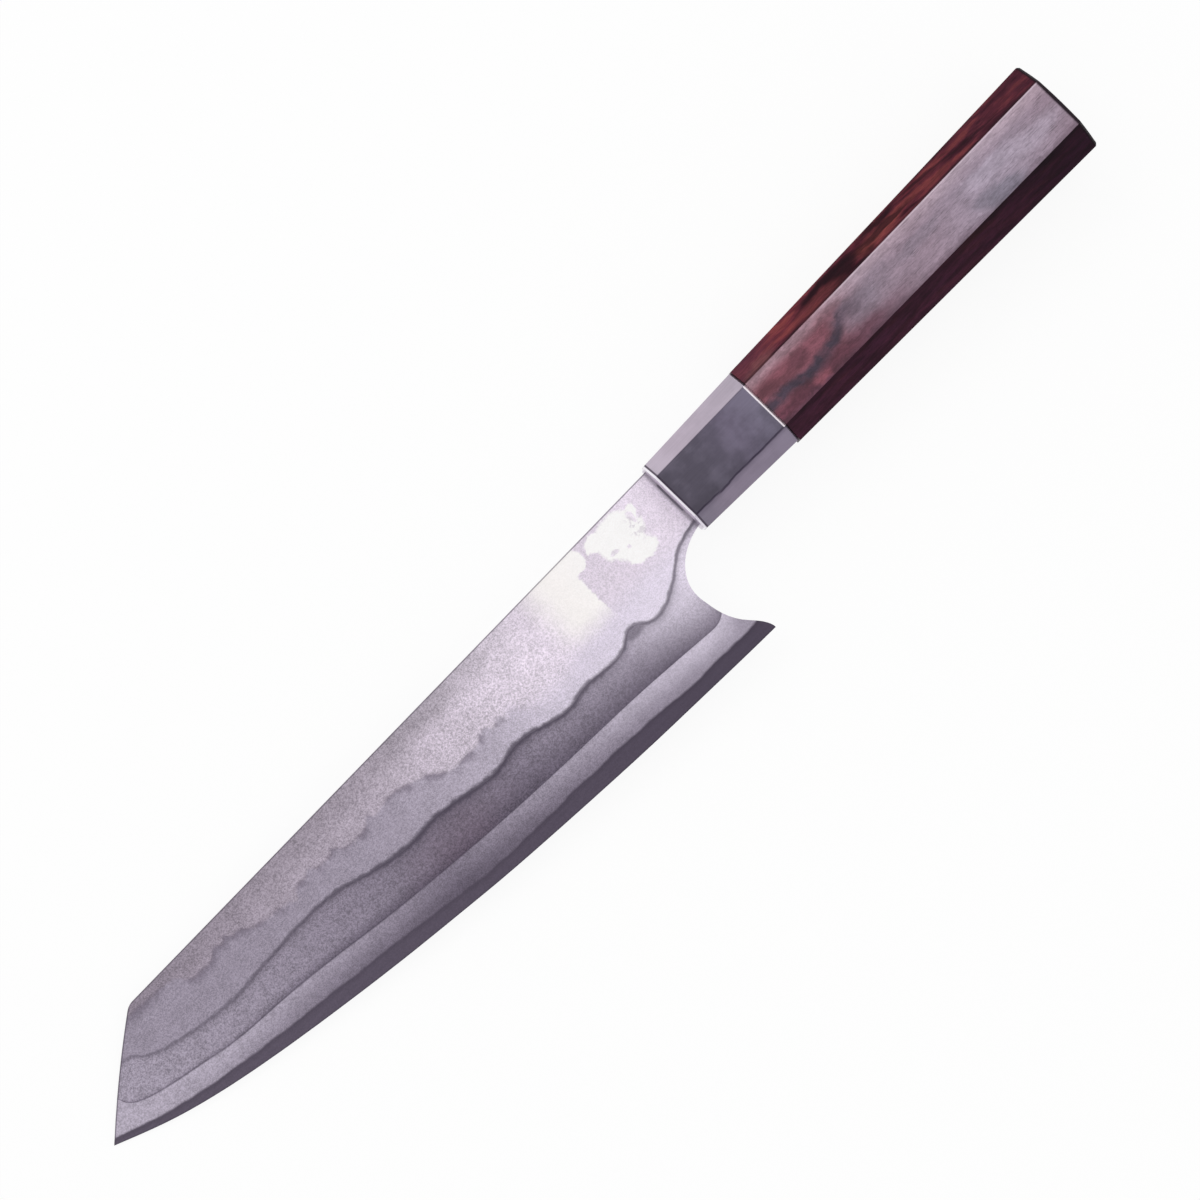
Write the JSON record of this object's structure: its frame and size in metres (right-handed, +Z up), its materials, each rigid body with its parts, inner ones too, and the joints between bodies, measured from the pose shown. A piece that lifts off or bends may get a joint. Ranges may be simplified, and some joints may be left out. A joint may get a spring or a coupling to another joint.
{
  "type": "kiritsuke knife",
  "caption": "Kitchen knife with a laminated blade, a slanted tip, a round notch behind the heel and an eight-sided wooden handle with a metal ferrule.",
  "frame": {"origin": "middle of the surface the knife lies on, under the centre of its outline", "axes": "+X from the tip to the butt, +Y from the edge to the spine, +Z up, out of the blade's left face; the knife lies on its right side, on the tip and the ferrule's front corner, so the handle's axis climbs 2.6 degrees from the tip to the butt"},
  "size_m": [0.3338, 0.0514, 0.0264],
  "materials": {
    "core_steel": "satin ground",
    "inner_steel": "dark matt",
    "outer_steel": "blasted satin",
    "ferrule_metal": "satin",
    "grip_wood": "oiled and polished",
    "dowel_wood": "raw",
    "resin": "matt"
  },
  "bodies": {
    "root": {"core_steel": "core_steel", "inner_cladding_left": "inner_steel", "inner_cladding_right": "inner_steel", "outer_cladding_left": "outer_steel", "outer_cladding_right": "outer_steel", "ferrule": "ferrule_metal", "handle_wood": "grip_wood", "dowel": "dowel_wood", "tang_bond": "resin"}
  },
  "joints": []
}
